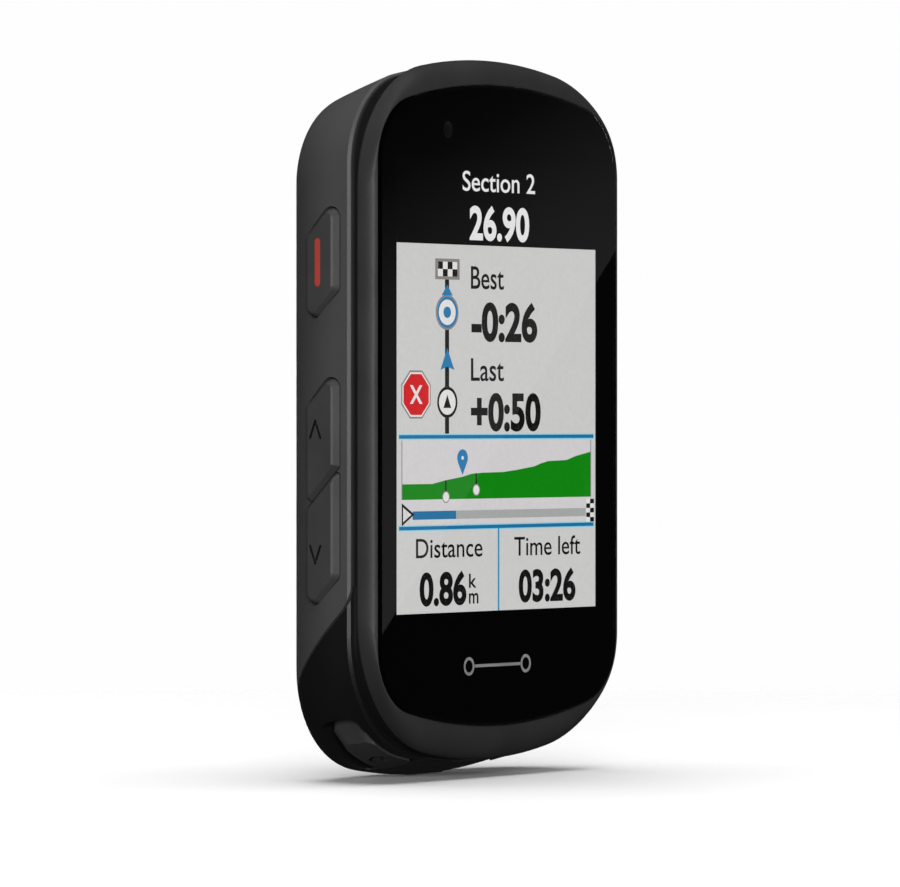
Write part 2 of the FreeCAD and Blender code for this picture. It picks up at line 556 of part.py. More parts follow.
# ---- inside: chassis, board, battery and the small parts ----------------------------------
CHASSIS_BACK = SEAM + 0.5
BOARD_FRONT, BOARD_BACK, BOARD_HALF = 5.5, 6.3, 18.2
BATTERY_FRONT, BATTERY_BACK = 8.2, 12.8
INNER_BACK = CASE_BACK - BACK_WALL
lap_clear = pocket(chin_frame(), chin_points, CHIN_RADII, 0.9, -7.7)
side_clear = [pocket(power_frame, power_points, KEY_RADII, 0.9),
              pocket(up_frame, up_points, UPPER_RADII, 0.9),
              pocket(down_frame, down_points, LOWER_RADII, 0.9)]
flex_slot = box(-9, 9, 0, 8, lcd_low - 3.9, lcd_low - 1.6)
posts = [rod(x, z, CHASSIS_BACK - 0.2, BOSS_END, POST_R) for x, z in screw_spots]
chassis = fuse(slab(band_spec, SEAL_FRONT, CHASSIS_BACK, WALL + 0.35), *posts)
chassis = cut(chassis, *[rod(x, z, 0, FAR, SCREW_R) for x, z in screw_spots], flex_slot, sensor_room,
              lap_clear, mirrored(lap_clear), box(-10.0, 10.0, 0, FAR, -FAR, -33.9),
              *side_clear, *[mirrored(room) for room in side_clear])
keep("inner_chassis", chassis)

board = rounded_box(-BOARD_HALF, BOARD_HALF, BOARD_FRONT, BOARD_BACK, -33.4, 35.2, 4.0)
post_rooms = [rod(x, z, 0, FAR, POST_R + 0.3) for x, z in screw_spots]
board = cut(board, *post_rooms, lap_clear, mirrored(lap_clear))
keep("main_board", board)
keep("processor_shield", rounded_box(-15.5, 0.5, BOARD_BACK, BOARD_BACK + 1.5, 4, 22, 0.5))
keep("radio_shield", rounded_box(2.0, 15.5, BOARD_BACK, BOARD_BACK + 1.5, 6, 22, 0.5))
keep("gps_antenna", rounded_box(-6.5, 6.5, BOARD_BACK, BOARD_BACK + 4.0, 24.2, 34.2, 0.8))
keep("barometer", box(13.6, 16.6, BOARD_BACK, BOARD_BACK + 1.0, 22.6, 25.2))
keep("vent_membrane", rod(0, VENT_Z, INNER_BACK - 0.3, INNER_BACK, 2.6))
keep("buzzer", rod(-10.0, -16.0, BOARD_BACK, BOARD_BACK + 1.4, 4.6))
keep("battery", rounded_box(-17.0, 17.0, BATTERY_FRONT, BATTERY_BACK, -24.6, 22.4, 1.2))
keep("battery_pad", rounded_box(-13.0, 13.0, BATTERY_BACK, INNER_BACK, -18.0, 20.0, 1.2))
socket_front, socket_back = PORT_DEPTH - SOCKET_THICK / 2, PORT_DEPTH + SOCKET_THICK / 2
SHEET, TONGUE_HALF = 0.3, 2.3
usb_shell = box(-SOCKET_HALF, SOCKET_HALF, socket_front, socket_back, PORT_ROOF, SOCKET_END)
usb_mouth = box(-SOCKET_HALF + SHEET, SOCKET_HALF - SHEET, socket_front + SHEET, socket_back - SHEET,
                PORT_ROOF - 1, SOCKET_END - 0.6)
usb_leg = box(-SOCKET_HALF, SOCKET_HALF, BOARD_BACK, socket_front, -33.4, SOCKET_END)
keep("usb_socket", fuse(usb_shell.cut(usb_mouth), usb_leg))
keep("usb_tongue", box(-TONGUE_HALF, TONGUE_HALF, PORT_DEPTH - SHEET, PORT_DEPTH + SHEET,
                       PORT_ROOF + 0.8, SOCKET_END - 0.6))
FLEX_HALF, FLEX_THICK = 6.0, SEAL_FRONT - BACKLIGHT_BACK
keep("display_flex", fuse(
    box(-FLEX_HALF, FLEX_HALF, BACKLIGHT_BACK, SEAL_FRONT, lcd_low - 3.0, lcd_low + 3.0),
    box(-FLEX_HALF, FLEX_HALF, BACKLIGHT_BACK, BOARD_FRONT, lcd_low - 3.0, lcd_low - 3.0 + FLEX_THICK)))
pad_foot = INNER_BACK - 0.4
keep("charge_contacts", *[fuse(rod(x, PAD_Z, pad_foot, CASE_BACK - 0.1, PAD_R - 0.06),
                               rod(x, PAD_Z, pad_foot, INNER_BACK, PAD_R + 0.3)) for x in pad_spots])

# ---- behind the buttons: rubber membranes, switches and their flex strips --------------------
MEMBRANE, DOME_HEIGHT, CAN_HEIGHT, STRIP_THICK = 0.3, 0.25, 0.7, 0.15
CLEAR = 0.05
side_stop = SIDE_BASE - FOOT_THICK - TRAVEL - CLEAR      # where a pressed side button ends
chin_stop = CHIN_BASE - FOOT_THICK - TRAVEL - CLEAR


def block(frame, half_u, v0, v1, top, thick):
    return frame.put(Part.makeBox(2 * half_u, v1 - v0, thick, Vector(-half_u, v0, top - thick)))


def switch(frame, stop):
    """A tact switch: a square can with a round dome, just behind a membrane."""
    top = stop - MEMBRANE - CLEAR
    dome = frame.put(Part.makeCylinder(0.8, DOME_HEIGHT, Vector(0, 0, top - DOME_HEIGHT)))
    return fuse(dome, block(frame, 1.5, -1.7, 1.7, top - DOME_HEIGHT, CAN_HEIGHT))


def strip_top(stop):
    return stop - MEMBRANE - CLEAR - DOME_HEIGHT - CAN_HEIGHT


column = side_frame(0.0)
low_end, pair_end, power_end = down_z - 3.0, up_z + 3.0, power_z + 3.0
left_switches = [switch(side_frame(z), side_stop) for z in (power_z, up_z, down_z)]
lap_switch = switch(chin_frame(), chin_stop)
right_switches = [mirrored(s) for s in left_switches[1:]]
keep("tact_switches", *left_switches, *right_switches, lap_switch, mirrored(lap_switch))
lap_strip = block(chin_frame(), 2.6, -1.9, 1.9, strip_top(chin_stop), STRIP_THICK)
keep("switch_flexes", block(column, 1.9, low_end, power_end, strip_top(side_stop), STRIP_THICK),
     mirrored(block(column, 1.9, low_end, pair_end, strip_top(side_stop), STRIP_THICK)),
     lap_strip, mirrored(lap_strip))
lap_membrane = block(chin_frame(), 4.4, -2.3, 2.3, chin_stop, MEMBRANE)
keep("button_membranes", block(column, 2.5, low_end - 2.0, power_end + 2.0, side_stop, MEMBRANE),
     mirrored(block(column, 2.5, low_end - 2.0, pair_end + 1.0, side_stop, MEMBRANE)),
     lap_membrane, mirrored(lap_membrane))


# ---- quarter-turn mount and screws ----------------------------------------------------------
def sector(radius, d0, d1, middle, width):
    """A slice of a disc about the origin's axis."""
    a0, a1 = math.radians(middle - width / 2), math.radians(middle + width / 2)

    def rim(a):
        return at(radius * math.cos(a), d0, radius * math.sin(a))

    edges = [Part.LineSegment(at(0, d0, 0), rim(a0)).toShape(),
             Part.Arc(rim(a0), rim((a0 + a1) / 2), rim(a1)).toShape(),
             Part.LineSegment(rim(a1), at(0, d0, 0)).toShape()]
    return Part.Face(Part.Wire(edges)).extrude(Vector(0, d1 - d0, 0))


def screw(x, z, tip, seat, shank_r):
    """A pan-head screw with a six-lobe socket, driven from the back."""
    head_end = seat + SCREW_HEAD
    socket_floor = seat + 0.35
    socket = [rod(x, z, socket_floor, head_end, 0.55)]
    for k in range(6):
        angle = math.radians(60 * k)
        socket.append(rod(x + 0.5 * math.cos(angle), z + 0.5 * math.sin(angle), socket_floor, head_end, 0.22))
    head, shank = rod(x, z, seat, head_end, SCREW_HEAD_R), rod(x, z, tip, seat + 0.1, shank_r)
    return fuse(head, shank).cut(fuse(*socket))


DISH_R, DISH_DEPTH, MOUNT_SEAT = 5.6, 0.5, DEPTH - 1.6
flange = rod(0, 0, CASE_BACK - FLANGE_THICK, CASE_BACK, FLANGE_R)
neck = rod(0, 0, CASE_BACK - 0.1, DEPTH, BOSS_R)
tabs = [sector(TAB_R, DEPTH - TAB_THICK, DEPTH, angle, TAB_ANGLE) for angle in (90, 270)]
mount = cut(fuse(flange, neck, *tabs), rod(0, 0, DEPTH - DISH_DEPTH, FAR, DISH_R))
mount = cut(mount, *[rod(x, z, 0, FAR, SCREW_R) for x, z in mount_spots])
mount = cut(mount, *[rod(x, z, MOUNT_SEAT, FAR, SCREW_HEAD_R + 0.15) for x, z in mount_spots])
keep("quarter_turn_mount", mount)
keep("case_screws", *[screw(x, z, 7.4, SCREW_SEAT, SCREW_R) for x, z in screw_spots])
keep("mount_screws", *[screw(x, z, MOUNT_SCREW_TIP, MOUNT_SEAT, SCREW_R - 0.1) for x, z in mount_spots])

# ---- export ---------------------------------------------------------------------------------
os.makedirs("parts", exist_ok=True)
for name, shape in PARTS.items():
    shape.exportStep(f"parts/{name}.step")
    print(f"{name:20s} {len(shape.Solids):2d} solid(s), valid {shape.isValid()}, {shape.Volume:9.2f} mm3")
print(f"the USB cover's hinge: y {FLAP_HINGE - DEPTH:.4f}, z {HINGE_Z:.4f}")
for label, frame in (("side", power_frame), ("lap", chin_frame())):
    print(f"a {label} button's outward direction: {frame.n.x:.5f} {frame.n.y:.5f} {frame.n.z:.5f}")
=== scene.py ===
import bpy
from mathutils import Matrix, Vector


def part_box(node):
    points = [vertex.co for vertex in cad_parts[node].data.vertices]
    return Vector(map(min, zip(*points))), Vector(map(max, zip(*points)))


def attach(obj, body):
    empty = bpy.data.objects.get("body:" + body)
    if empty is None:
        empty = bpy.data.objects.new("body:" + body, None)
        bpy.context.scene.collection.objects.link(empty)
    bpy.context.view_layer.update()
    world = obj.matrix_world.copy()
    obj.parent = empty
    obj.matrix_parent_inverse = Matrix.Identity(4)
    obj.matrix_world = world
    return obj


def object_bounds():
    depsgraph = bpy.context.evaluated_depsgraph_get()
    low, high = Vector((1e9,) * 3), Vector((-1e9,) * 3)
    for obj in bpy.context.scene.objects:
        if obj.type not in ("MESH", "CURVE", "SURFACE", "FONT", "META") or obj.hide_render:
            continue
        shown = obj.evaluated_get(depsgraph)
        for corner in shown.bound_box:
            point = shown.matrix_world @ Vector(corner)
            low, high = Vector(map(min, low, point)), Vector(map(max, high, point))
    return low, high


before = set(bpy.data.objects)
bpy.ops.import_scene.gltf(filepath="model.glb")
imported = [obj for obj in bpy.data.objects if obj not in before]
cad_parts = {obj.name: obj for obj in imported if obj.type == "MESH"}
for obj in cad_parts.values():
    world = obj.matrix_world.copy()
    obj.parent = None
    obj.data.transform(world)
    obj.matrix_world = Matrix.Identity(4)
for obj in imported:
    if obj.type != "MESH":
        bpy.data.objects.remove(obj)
cad_box = [list(corner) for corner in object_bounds()]

import math
from types import SimpleNamespace

import bmesh
import bpy
from mathutils import Vector

MM = 0.001
CASE = "case"                # the body that the display's picture rides on

# ---- places, in millimetres, in the row frame ------------------------------------------------
glass_low, glass_high = (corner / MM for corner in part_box("cover_glass"))
GLASS_FRONT = glass_low.y
GLASS_BACK = glass_high.y
LCD_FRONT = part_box("display_panel")[0].y / MM
FLOOR_Z = cad_box[0][2] / MM
SCREEN_HALF_W = 20.05        # the hole in the printed border
SCREEN_TOP, SCREEN_LOW = 29.2, -21.9
TITLE_LOW = 19.68            # where the black title field ends

# ---- camera --------------------------------------------------------------------------------
SENSOR_WIDTH, LENS_LENGTH = 36.0, 255.92     # a long lens, so the perspective is slight
LOOK_DOWN = 0.0038918        # how far the line of sight falls, per unit ahead
AZIMUTH = math.radians(55.05)
RIGHT = Vector((math.cos(AZIMUTH), -math.sin(AZIMUTH), 0.0))
AHEAD = Vector((math.sin(AZIMUTH), math.cos(AZIMUTH), 0.0))
CAMERA_AWAY, CAMERA_SIDE = 730.4, 5.62       # from a point just behind the middle of the glass's front
AIM_DEPTH = 0.4
EYE = Vector((0.0, GLASS_FRONT + AIM_DEPTH, 0.0)) - RIGHT * CAMERA_SIDE - AHEAD * CAMERA_AWAY


def add_camera():
    """The camera at the photograph's angle."""
    data = bpy.data.cameras.new("camera")
    data.sensor_width = SENSOR_WIDTH
    data.lens = LENS_LENGTH
    data.clip_start, data.clip_end = 0.01, 20.0
    camera = bpy.data.objects.new("camera", data)
    bpy.context.scene.collection.objects.link(camera)
    camera.location = EYE * MM
    look = AHEAD - Vector((0, 0, LOOK_DOWN))
    camera.rotation_euler = look.to_track_quat("-Z", "Y").to_euler()
    bpy.context.scene.camera = camera


# ---- materials -----------------------------------------------------------------------------
def node_material(name):
    """A new material, its node tree and its main shader."""
    material = bpy.data.materials.new(name)
    material.use_nodes = True
    tree = material.node_tree
    shader = tree.nodes["Principled BSDF"]
    return material, tree, shader


def noise(tree, scale, detail, stretch=(1, 1, 1)):
    """Noise over the object's own coordinates, scale in waves per metre."""
    coordinates = tree.nodes.new("ShaderNodeTexCoord")
    mapping = tree.nodes.new("ShaderNodeMapping")
    mapping.inputs["Scale"].default_value = stretch
    texture = tree.nodes.new("ShaderNodeTexNoise")
    texture.inputs["Scale"].default_value = scale
    texture.inputs["Detail"].default_value = detail
    tree.links.new(coordinates.outputs["Object"], mapping.inputs["Vector"])
    tree.links.new(mapping.outputs["Vector"], texture.inputs["Vector"])
    return texture.outputs["Fac"]


def spread(tree, value, low, high):
    """A number that varies with a noise between low and high."""
    ramp = tree.nodes.new("ShaderNodeMapRange")
    ramp.inputs["From Min"].default_value = 0.3
    ramp.inputs["From Max"].default_value = 0.7
    ramp.inputs["To Min"].default_value = low
    ramp.inputs["To Max"].default_value = high
    tree.links.new(value, ramp.inputs["Value"])
    return ramp.outputs["Result"]


def tint(tree, value, dark, light):
    """A colour that varies with a noise between two colours."""
    ramp = tree.nodes.new("ShaderNodeValToRGB")
    ramp.color_ramp.elements[0].position = 0.3
    ramp.color_ramp.elements[0].color = (*dark, 1)
    ramp.color_ramp.elements[1].position = 0.7
    ramp.color_ramp.elements[1].color = (*light, 1)
    tree.links.new(value, ramp.inputs["Fac"])
    return ramp.outputs["Color"]


def bump(tree, value, strength, distance):
    """The surface relief that a noise gives, distance in metres."""
    relief = tree.nodes.new("ShaderNodeBump")
    relief.inputs["Strength"].default_value = strength
    relief.inputs["Distance"].default_value = distance
    tree.links.new(value, relief.inputs["Height"])
    return relief.outputs["Normal"]


GROOVE_REACH = 0.6           # how near a groove's other wall has to be for the painted shade


def paint_groove_shade(tree, colour):
    """A colour with painted shade: darker in the narrow grooves of a piece, where their walls stand close."""
    openness = tree.nodes.new("ShaderNodeAmbientOcclusion")
    openness.only_local = True
    openness.samples = 12
    openness.inputs["Distance"].default_value = GROOVE_REACH * MM
    level = tree.nodes.new("ShaderNodeMapRange")
    level.inputs["From Min"].default_value = 0.55
    level.inputs["From Max"].default_value = 0.92
    level.inputs["To Min"].default_value = 0.1
    level.inputs["To Max"].default_value = 1.0
    darker = tree.nodes.new("ShaderNodeVectorMath")
    darker.operation = "SCALE"
    tree.links.new(openness.outputs["AO"], level.inputs["Value"])
    tree.links.new(colour, darker.inputs[0])
    tree.links.new(level.outputs["Result"], darker.inputs["Scale"])
    return darker.outputs["Vector"]


GRAIN_DEPTH = 0.03


def surface(name, colour, vary=0.12, rough=(0.4, 0.5), grain=2500, relief=0.15, metallic=0.0,
            specular=0.5, painted_groove_shade=False, stretch=(1, 1, 1)):
    """A plain moulded, metal or rubber surface with a fine grain and slightly uneven colour and gloss."""
    material, tree, shader = node_material(name)
    cloudy = noise(tree, 160, 4.0)
    fine = noise(tree, grain, 2.0, stretch)
    dark = [c * (1 - vary) for c in colour]
    light = [c * (1 + vary) for c in colour]
    paint = tint(tree, cloudy, dark, light)
    # painted shade: the colour is darkened in narrow grooves, where ambient occlusion finds walls close by
    if painted_groove_shade:
        paint = paint_groove_shade(tree, paint)
    tree.links.new(paint, shader.inputs["Base Color"])
    tree.links.new(spread(tree, fine, *rough), shader.inputs["Roughness"])
    tree.links.new(bump(tree, fine, relief, GRAIN_DEPTH * MM), shader.inputs["Normal"])
    shader.inputs["Metallic"].default_value = metallic
    shader.inputs["Specular IOR Level"].default_value = specular
    return material


def glass_material():
    """Clear polished glass, with faint smears in its gloss."""
    material, tree, shader = node_material("clear_glass")
    smears = noise(tree, 90, 5.0)
    tree.links.new(spread(tree, smears, 0.0, 0.012), shader.inputs["Roughness"])
    shader.inputs["Base Color"].default_value = (1, 1, 1, 1)
    shader.inputs["Transmission Weight"].default_value = 1.0
    shader.inputs["IOR"].default_value = 1.5
    return material


GLOW_STRENGTH, GLOW_VARY = 1.1, 0.03


def painted_glow(name, colour):
    """A part of the display's picture, with painted light: it gives its own light, which stands in for the
    lit display.
    """
    material, tree, shader = node_material(name)
    shader.inputs["Base Color"].default_value = (0, 0, 0, 1)
    shader.inputs["Specular IOR Level"].default_value = 0.0
    shader.inputs["Roughness"].default_value = 0.9
    fine = noise(tree, 3000, 1.0)
    dark = [c * (1 - GLOW_VARY) for c in colour]
    light = [c * (1 + GLOW_VARY) for c in colour]
    # painted light: the picture's colour is emitted rather than lit by the lamps
    tree.links.new(tint(tree, fine, dark, light), shader.inputs["Emission Color"])
    shader.inputs["Emission Strength"].default_value = GLOW_STRENGTH
    return material


FINE_GRAIN = 5200.0          # the waves per metre in the texture of moulded plastic


def finish_nodes():
    """Give every CAD node its material."""
    grey_plastic = surface("shell_grey", (0.055, 0.055, 0.0565), vary=0.05, rough=(0.48, 0.58),
                           grain=FINE_GRAIN, relief=0.25)
    button_plastic = surface("button_grey", (0.048, 0.048, 0.0495), rough=(0.36, 0.45), grain=FINE_GRAIN,
                             relief=0.18, painted_groove_shade=True)
    chin_key_plastic = surface("chin_key_black", (0.035, 0.035, 0.0355), rough=(0.36, 0.45), grain=FINE_GRAIN,
                               relief=0.2, painted_groove_shade=True)
    black_plastic = surface("case_black", (0.005, 0.005, 0.0052), rough=(0.36, 0.46), grain=FINE_GRAIN,
                            relief=0.2)
    bezel_plastic = surface("bezel_black", (0.026, 0.026, 0.0265), rough=(0.5, 0.58), grain=FINE_GRAIN,
                            relief=0.15, specular=0.3)
    mount_plastic = surface("mount_black", (0.016, 0.016, 0.016), rough=(0.45, 0.6), grain=1800, relief=0.4)
    rubber = surface("seal_rubber", (0.010, 0.010, 0.010), rough=(0.6, 0.75), grain=3000, relief=0.3)
    steel = surface("screw_steel", (0.12, 0.12, 0.125), rough=(0.25, 0.4), grain=1500, metallic=1.0)
    tinned = surface("can_steel", (0.62, 0.62, 0.63), rough=(0.22, 0.36), grain=1200, metallic=1.0,
                     stretch=(1, 1, 8))
    chip = surface("chip_black", (0.015, 0.015, 0.015), rough=(0.5, 0.6))
    amber_film = surface("flex_amber", (0.45, 0.2, 0.03), rough=(0.2, 0.3))
    looks = {
        "front_bezel": bezel_plastic,
        "cover_glass": glass_material(),
        "border_mask": surface("mask_black", (0.0004, 0.0004, 0.0005), rough=(0.0, 0.01), relief=0.0),
        "glass_adhesive": rubber,
        "battery_pad": rubber,
        "display_panel": surface("display", (0.3, 0.3, 0.3), rough=(0.3, 0.4)),
        "backlight": surface("light_guide", (0.8, 0.82, 0.83), rough=(0.3, 0.4)),
        "light_sensor": surface("sensor_brown", (0.03, 0.014, 0.01), rough=(0.2, 0.3)),
        "rear_shell": grey_plastic,
        "power_button": button_plastic,
        "up_button": button_plastic,
        "down_button": button_plastic,
        "enter_button": button_plastic,
        "back_button": button_plastic,
        "lower_case": black_plastic,
        "lap_button": chin_key_plastic,
        "start_button": chin_key_plastic,
        "quarter_turn_mount": mount_plastic,
        "housing_seal": rubber,
        "usb_cover": rubber,
        "button_membranes": rubber,
        "power_mark": surface("mark_red", (0.43, 0.055, 0.04), rough=(0.3, 0.4)),
        "inner_chassis": black_plastic,
        "main_board": surface("board_green", (0.015, 0.1, 0.045), rough=(0.3, 0.4)),
        "processor_shield": tinned,
        "radio_shield": tinned,
        "usb_socket": tinned,
        "tact_switches": tinned,
        "case_screws": steel,
        "mount_screws": steel,
        "gps_antenna": surface("ceramic", (0.7, 0.64, 0.52), rough=(0.5, 0.6)),
        "battery": surface("battery_foil", (0.6, 0.61, 0.63), rough=(0.3, 0.45), metallic=1.0),
        "charge_contacts": surface("contact_gold", (0.83, 0.6, 0.24), rough=(0.18, 0.3), grain=1500,
                                   metallic=1.0),
        "display_flex": amber_film,
        "switch_flexes": amber_film,
        "vent_membrane": surface("vent_white", (0.8, 0.8, 0.78), rough=(0.8, 0.9)),
        "buzzer": chip,
        "barometer": chip,
        "usb_tongue": chip,
    }
    for name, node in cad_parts.items():
        node.data.materials.clear()
        node.data.materials.append(looks[name])


# ---- the display's picture: thin flat pieces behind the glass -------------------------------
# Most layers are plates between the glass and the display panel, and layer 0 is the furthest back. The title
# field and what is printed on the border lie just under the surface of the glass's back instead.
FIRST_LAYER_GAP, LAYER_STEP, LAYER_THICK = 0.004, 0.0095, 0.006
IN_GLASS, IN_GLASS_FRONT = GLASS_BACK - 0.02, GLASS_BACK - 0.03
ROUND_STEPS = 28


def layer_y(layer):
    """The front of a layer's plates."""
    return LCD_FRONT - FIRST_LAYER_GAP - LAYER_STEP * (layer + 1)


def linear(*channels):
    """The linear value of colour channels given from 0 to 255."""
    return [((c / 255 + 0.055) / 1.055) ** 2.4 if c > 10 else c / 255 / 12.92 for c in channels]


class Picture:
    """One colour of the display's picture, gathered in one mesh of thin plates at one depth."""

    def __init__(self, name, material, y):
        self.name, self.material, self.y = name, material, y
        self.mesh = bmesh.new()

    def plate(self, points, holes=()):
        """A flat plate with the given outline of (x, z) points, and perhaps a hole in it."""
        loops = [points, *holes]
        edges = []
        for loop in loops:
            corners = [self.mesh.verts.new((x * MM, self.y * MM, z * MM)) for x, z in loop]
            edges += [self.mesh.edges.new((a, b)) for a, b in zip(corners, corners[1:] + corners[:1])]
        filled = bmesh.ops.triangle_fill(self.mesh, use_beauty=True, use_dissolve=False, edges=edges)
        faces = [f for f in filled["geom"] if isinstance(f, bmesh.types.BMFace)]
        raised = bmesh.ops.extrude_face_region(self.mesh, geom=faces)
        moved = [v for v in raised["geom"] if isinstance(v, bmesh.types.BMVert)]
        bmesh.ops.translate(self.mesh, verts=moved, vec=(0, LAYER_THICK * MM, 0))

    def box(self, x0, x1, z0, z1):
        self.plate([(x0, z0), (x1, z0), (x1, z1), (x0, z1)])

    def ellipse(self, x, z, rx, rz, line=0.0):
        """A filled ellipse, or the outline of one if a line width is given."""
        turns = [2 * math.pi * k / ROUND_STEPS for k in range(ROUND_STEPS)]
        rim = [(x + rx * math.cos(t), z + rz * math.sin(t)) for t in turns]
        if line:
            hole = [(x + (rx - line) * math.cos(t), z + (rz - line) * math.sin(t)) for t in turns]
            self.plate(rim, [hole])
        else:
            self.plate(rim)

    def text(self, words, x, z, width, height, weight):
        """Lettering in the built-in font: its left end and base line, and the size it is stretched to."""
        curve = bpy.data.curves.new(f"{self.name}_text", "FONT")
        curve.body = words
        curve.size = 1.0
        curve.offset = weight
        curve.resolution_u = 5
        holder = bpy.data.objects.new(curve.name, curve)
        bpy.context.scene.collection.objects.link(holder)
        bpy.context.view_layer.update()
        mesh = bpy.data.meshes.new_from_object(holder.evaluated_get(bpy.context.evaluated_depsgraph_get()))
        low = [min(v.co[k] for v in mesh.vertices) for k in (0, 1)]
        high = [max(v.co[k] for v in mesh.vertices) for k in (0, 1)]
        sx, sz = width / (high[0] - low[0]), height / (high[1] - low[1])
        for v in mesh.vertices:
            v.co = Vector(((x + (v.co.x - low[0]) * sx) * MM, self.y * MM, (z + (v.co.y - low[1]) * sz) * MM))
        letters = bmesh.new()
        letters.from_mesh(mesh)
        raised = bmesh.ops.extrude_face_region(letters, geom=letters.faces[:])
        moved = [v for v in raised["geom"] if isinstance(v, bmesh.types.BMVert)]
        bmesh.ops.translate(letters, verts=moved, vec=(0, LAYER_THICK * MM, 0))
        letters.to_mesh(mesh)
        letters.free()
        self.mesh.from_mesh(mesh)
        bpy.data.objects.remove(holder)
        bpy.data.curves.remove(curve)
        bpy.data.meshes.remove(mesh)

    def done(self):
        """Make the mesh an object that rides on the case."""
        bmesh.ops.recalc_face_normals(self.mesh, faces=self.mesh.faces[:])
        mesh = bpy.data.meshes.new(self.name)
        self.mesh.to_mesh(mesh)
        self.mesh.free()
        mesh.materials.append(self.material)
        piece = bpy.data.objects.new(self.name, mesh)
        bpy.context.scene.collection.objects.link(piece)
        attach(piece, CASE)


def checks(black, white, x0, x1, z0, z1, columns, rows):
    """A chequered flag: a white plate with black squares."""
    white.box(x0, x1, z0, z1)
    dx, dz = (x1 - x0) / columns, (z1 - z0) / rows
    for i in range(columns):
        for j in range(rows):
            if (i + j) % 2:
                black.box(x0 + i * dx, x0 + (i + 1) * dx, z0 + j * dz, z0 + (j + 1) * dz)


def octagon(x, z, half_x, half_z):
    """The corners of an octagon, given the half distances between its flats."""
    half_turn = math.radians(22.5)
    reach = 1 / math.cos(half_turn)
    turns = [half_turn * (2 * k + 1) for k in range(8)]
    return [(x + half_x * reach * math.cos(t), z + half_z * reach * math.sin(t)) for t in turns]


def cross(picture, x, z, half_x, half_z, width):
    """Two crossed strokes."""
    x0, x1, half = x - half_x, x + half_x, width / 2
    for way in (1, -1):
        z0, z1 = z - way * half_z, z + way * half_z
        picture.plate([(x0 - half, z0), (x0 + half, z0), (x1 + half, z1), (x1 - half, z1)])


SCREEN_COLOURS = {           # each colour of the picture, and its layer
    "paper": (linear(203, 203, 202), 0),
    "title_field": ((0.0004, 0.0004, 0.0004), 0),
    "title_text": (linear(222, 222, 222), 0),
    "chart_field": (linear(209, 206, 208), 1),
    "halo": (linear(140, 205, 225), 2),
    "green": (linear(12, 130, 12), 2),
    "grey": (linear(165, 168, 166), 2),
    "frame_line": (linear(125, 118, 125), 3),
    "blue": (linear(28, 110, 158), 4),
    "blue_front": (linear(38, 120, 172), 7),
    "route": (linear(22, 22, 22), 4),
    "edge": (linear(135, 130, 128), 5),
    "white": (linear(226, 224, 222), 6),
    "red": (linear(206, 26, 30), 7),
    "ink": (linear(15, 15, 15), 8),
    "bright": (linear(222, 222, 222), 8),
}
LINE_1, LINE_2, LINE_WIDTH = -2.05, -12.3, 0.4       # the blue lines above and below the chart
SMALL_WEIGHT, LABEL_WEIGHT, BOLD_WEIGHT = 0.006, 0.008, 0.035


def draw_title(p):
    """The pale field, and the black one above it with the title."""
    p.paper.box(-SCREEN_HALF_W, SCREEN_HALF_W, SCREEN_LOW, TITLE_LOW)
    p.title_field.box(-SCREEN_HALF_W, SCREEN_HALF_W, TITLE_LOW, SCREEN_TOP)
    p.title_text.text("Section 2", -7.2, 25.8, 14.6, 2.3, LABEL_WEIGHT)
    p.title_text.text("26.90", -5.8, 20.15, 12.0, 4.1, 0.03)


ROUTE_X, ROUTE_WIDTH = -10.17, 0.8
RING, RING_EDGE = (2.0, 1.78), (2.25, 2.0)
BEST_Z, ARROW_Z, LAST_Z = 12.0, 5.5, 1.85


def draw_rivals(p):
    """The route as an upright line: a flag, a rival ahead, the rider's arrow and a rival behind."""
    p.route.box(ROUTE_X - ROUTE_WIDTH / 2, ROUTE_X + ROUTE_WIDTH / 2, -1.7, 15.8)
    p.edge.box(-12.5, -7.7, 15.7, 18.05)
    checks(p.ink, p.white, -12.0, -8.2, 16.05, 17.7, 4, 2)
    p.edge.ellipse(ROUTE_X, BEST_Z, *RING_EDGE)
    p.white.ellipse(ROUTE_X, BEST_Z, *RING)
    p.blue_front.ellipse(ROUTE_X, BEST_Z, *RING, 0.34)
    p.blue_front.ellipse(ROUTE_X, BEST_Z, 0.75, 0.65)
    p.blue_front.plate([(ROUTE_X - 1.1, 13.9), (ROUTE_X + 1.1, 13.9), (ROUTE_X, 15.1)])
    p.blue_front.plate([(-11.5, ARROW_Z), (ROUTE_X, ARROW_Z + 0.35), (-8.75, ARROW_Z),
                        (ROUTE_X, ARROW_Z + 2.45)])
    p.white.ellipse(ROUTE_X, LAST_Z, *RING)
    p.ink.ellipse(ROUTE_X, LAST_Z, *RING, 0.36)
    p.ink.plate([(ROUTE_X - 0.75, 1.2), (ROUTE_X + 0.75, 1.2), (ROUTE_X, 2.7)])
    p.ink.text("Best", -5.5, 14.7, 6.6, 2.6, LABEL_WEIGHT)
    p.ink.text("-0:26", -5.4, 8.7, 13.3, 4.65, BOLD_WEIGHT)
    p.ink.text("Last", -5.5, 4.25, 6.6, 2.6, LABEL_WEIGHT)
    p.ink.text("+0:50", -5.5, -1.5, 14.1, 4.45, BOLD_WEIGHT)


SIGN_X, SIGN_Z, SIGN_RIM = -16.25, 2.7, 0.2


def draw_stop_sign(p):
    """A red octagon with a white cross and two rims."""
    for rim, layer in ((2 * SIGN_RIM, p.edge), (SIGN_RIM, p.white), (0.0, p.red)):
        layer.plate(octagon(SIGN_X, SIGN_Z, 2.45 + rim, 2.3 + rim))
    cross(p.bright, SIGN_X, SIGN_Z, 0.95, 1.05, 0.55)


